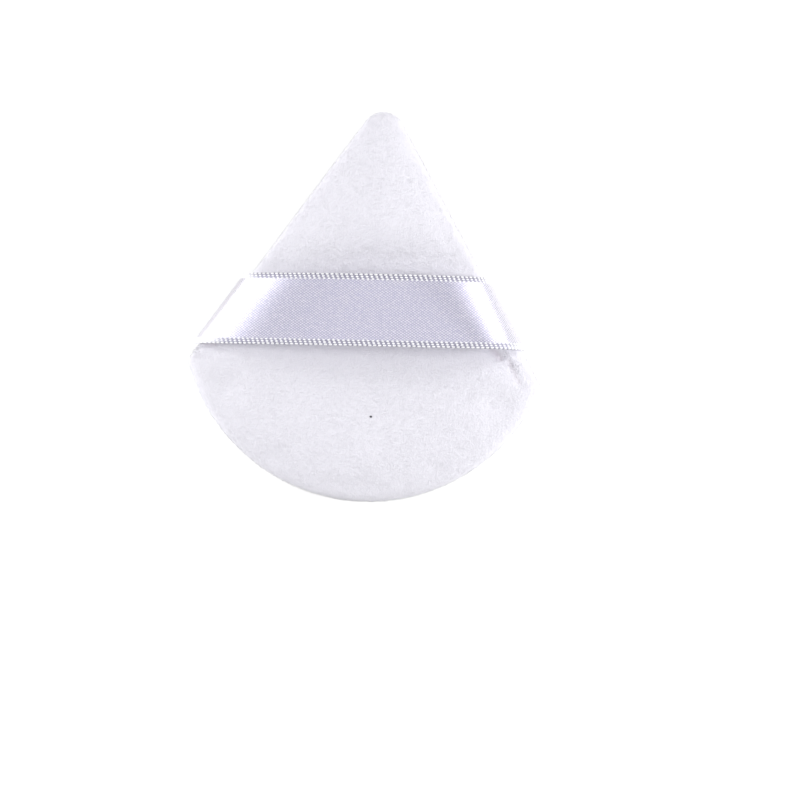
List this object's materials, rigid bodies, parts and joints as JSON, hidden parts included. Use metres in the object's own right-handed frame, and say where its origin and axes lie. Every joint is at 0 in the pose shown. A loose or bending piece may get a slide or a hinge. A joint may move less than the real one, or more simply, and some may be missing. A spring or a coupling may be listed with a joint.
{
  "type": "powder puff",
  "caption": "Velour powder puff in the shape of a rounded sector, foam filled, with a satin finger ribbon caught in its side seam.",
  "frame": {"origin": "on the plane that the powdering face rests on, under the middle of the whole puff", "axes": "+Z from the powdering face towards the ribbon, +Y towards the rounded tip, +X across the puff"},
  "size_m": [0.0632, 0.07, 0.0156],
  "materials": {
    "velour": "short cut pile, white with a faint lavender cast",
    "satin": "white satin weave with a grey lavender shade and a bright side sheen",
    "foam": "open cell sponge",
    "thread": "white polyester sewing thread"
  },
  "bodies": {
    "root": {"face_panel": "velour", "back_panel": "velour", "foam_core": "foam", "ribbon_strap": "satin", "seam_thread": "thread", "closing_thread": "thread", "left_ribbon_tack": "thread", "right_ribbon_tack": "thread"}
  },
  "joints": []
}
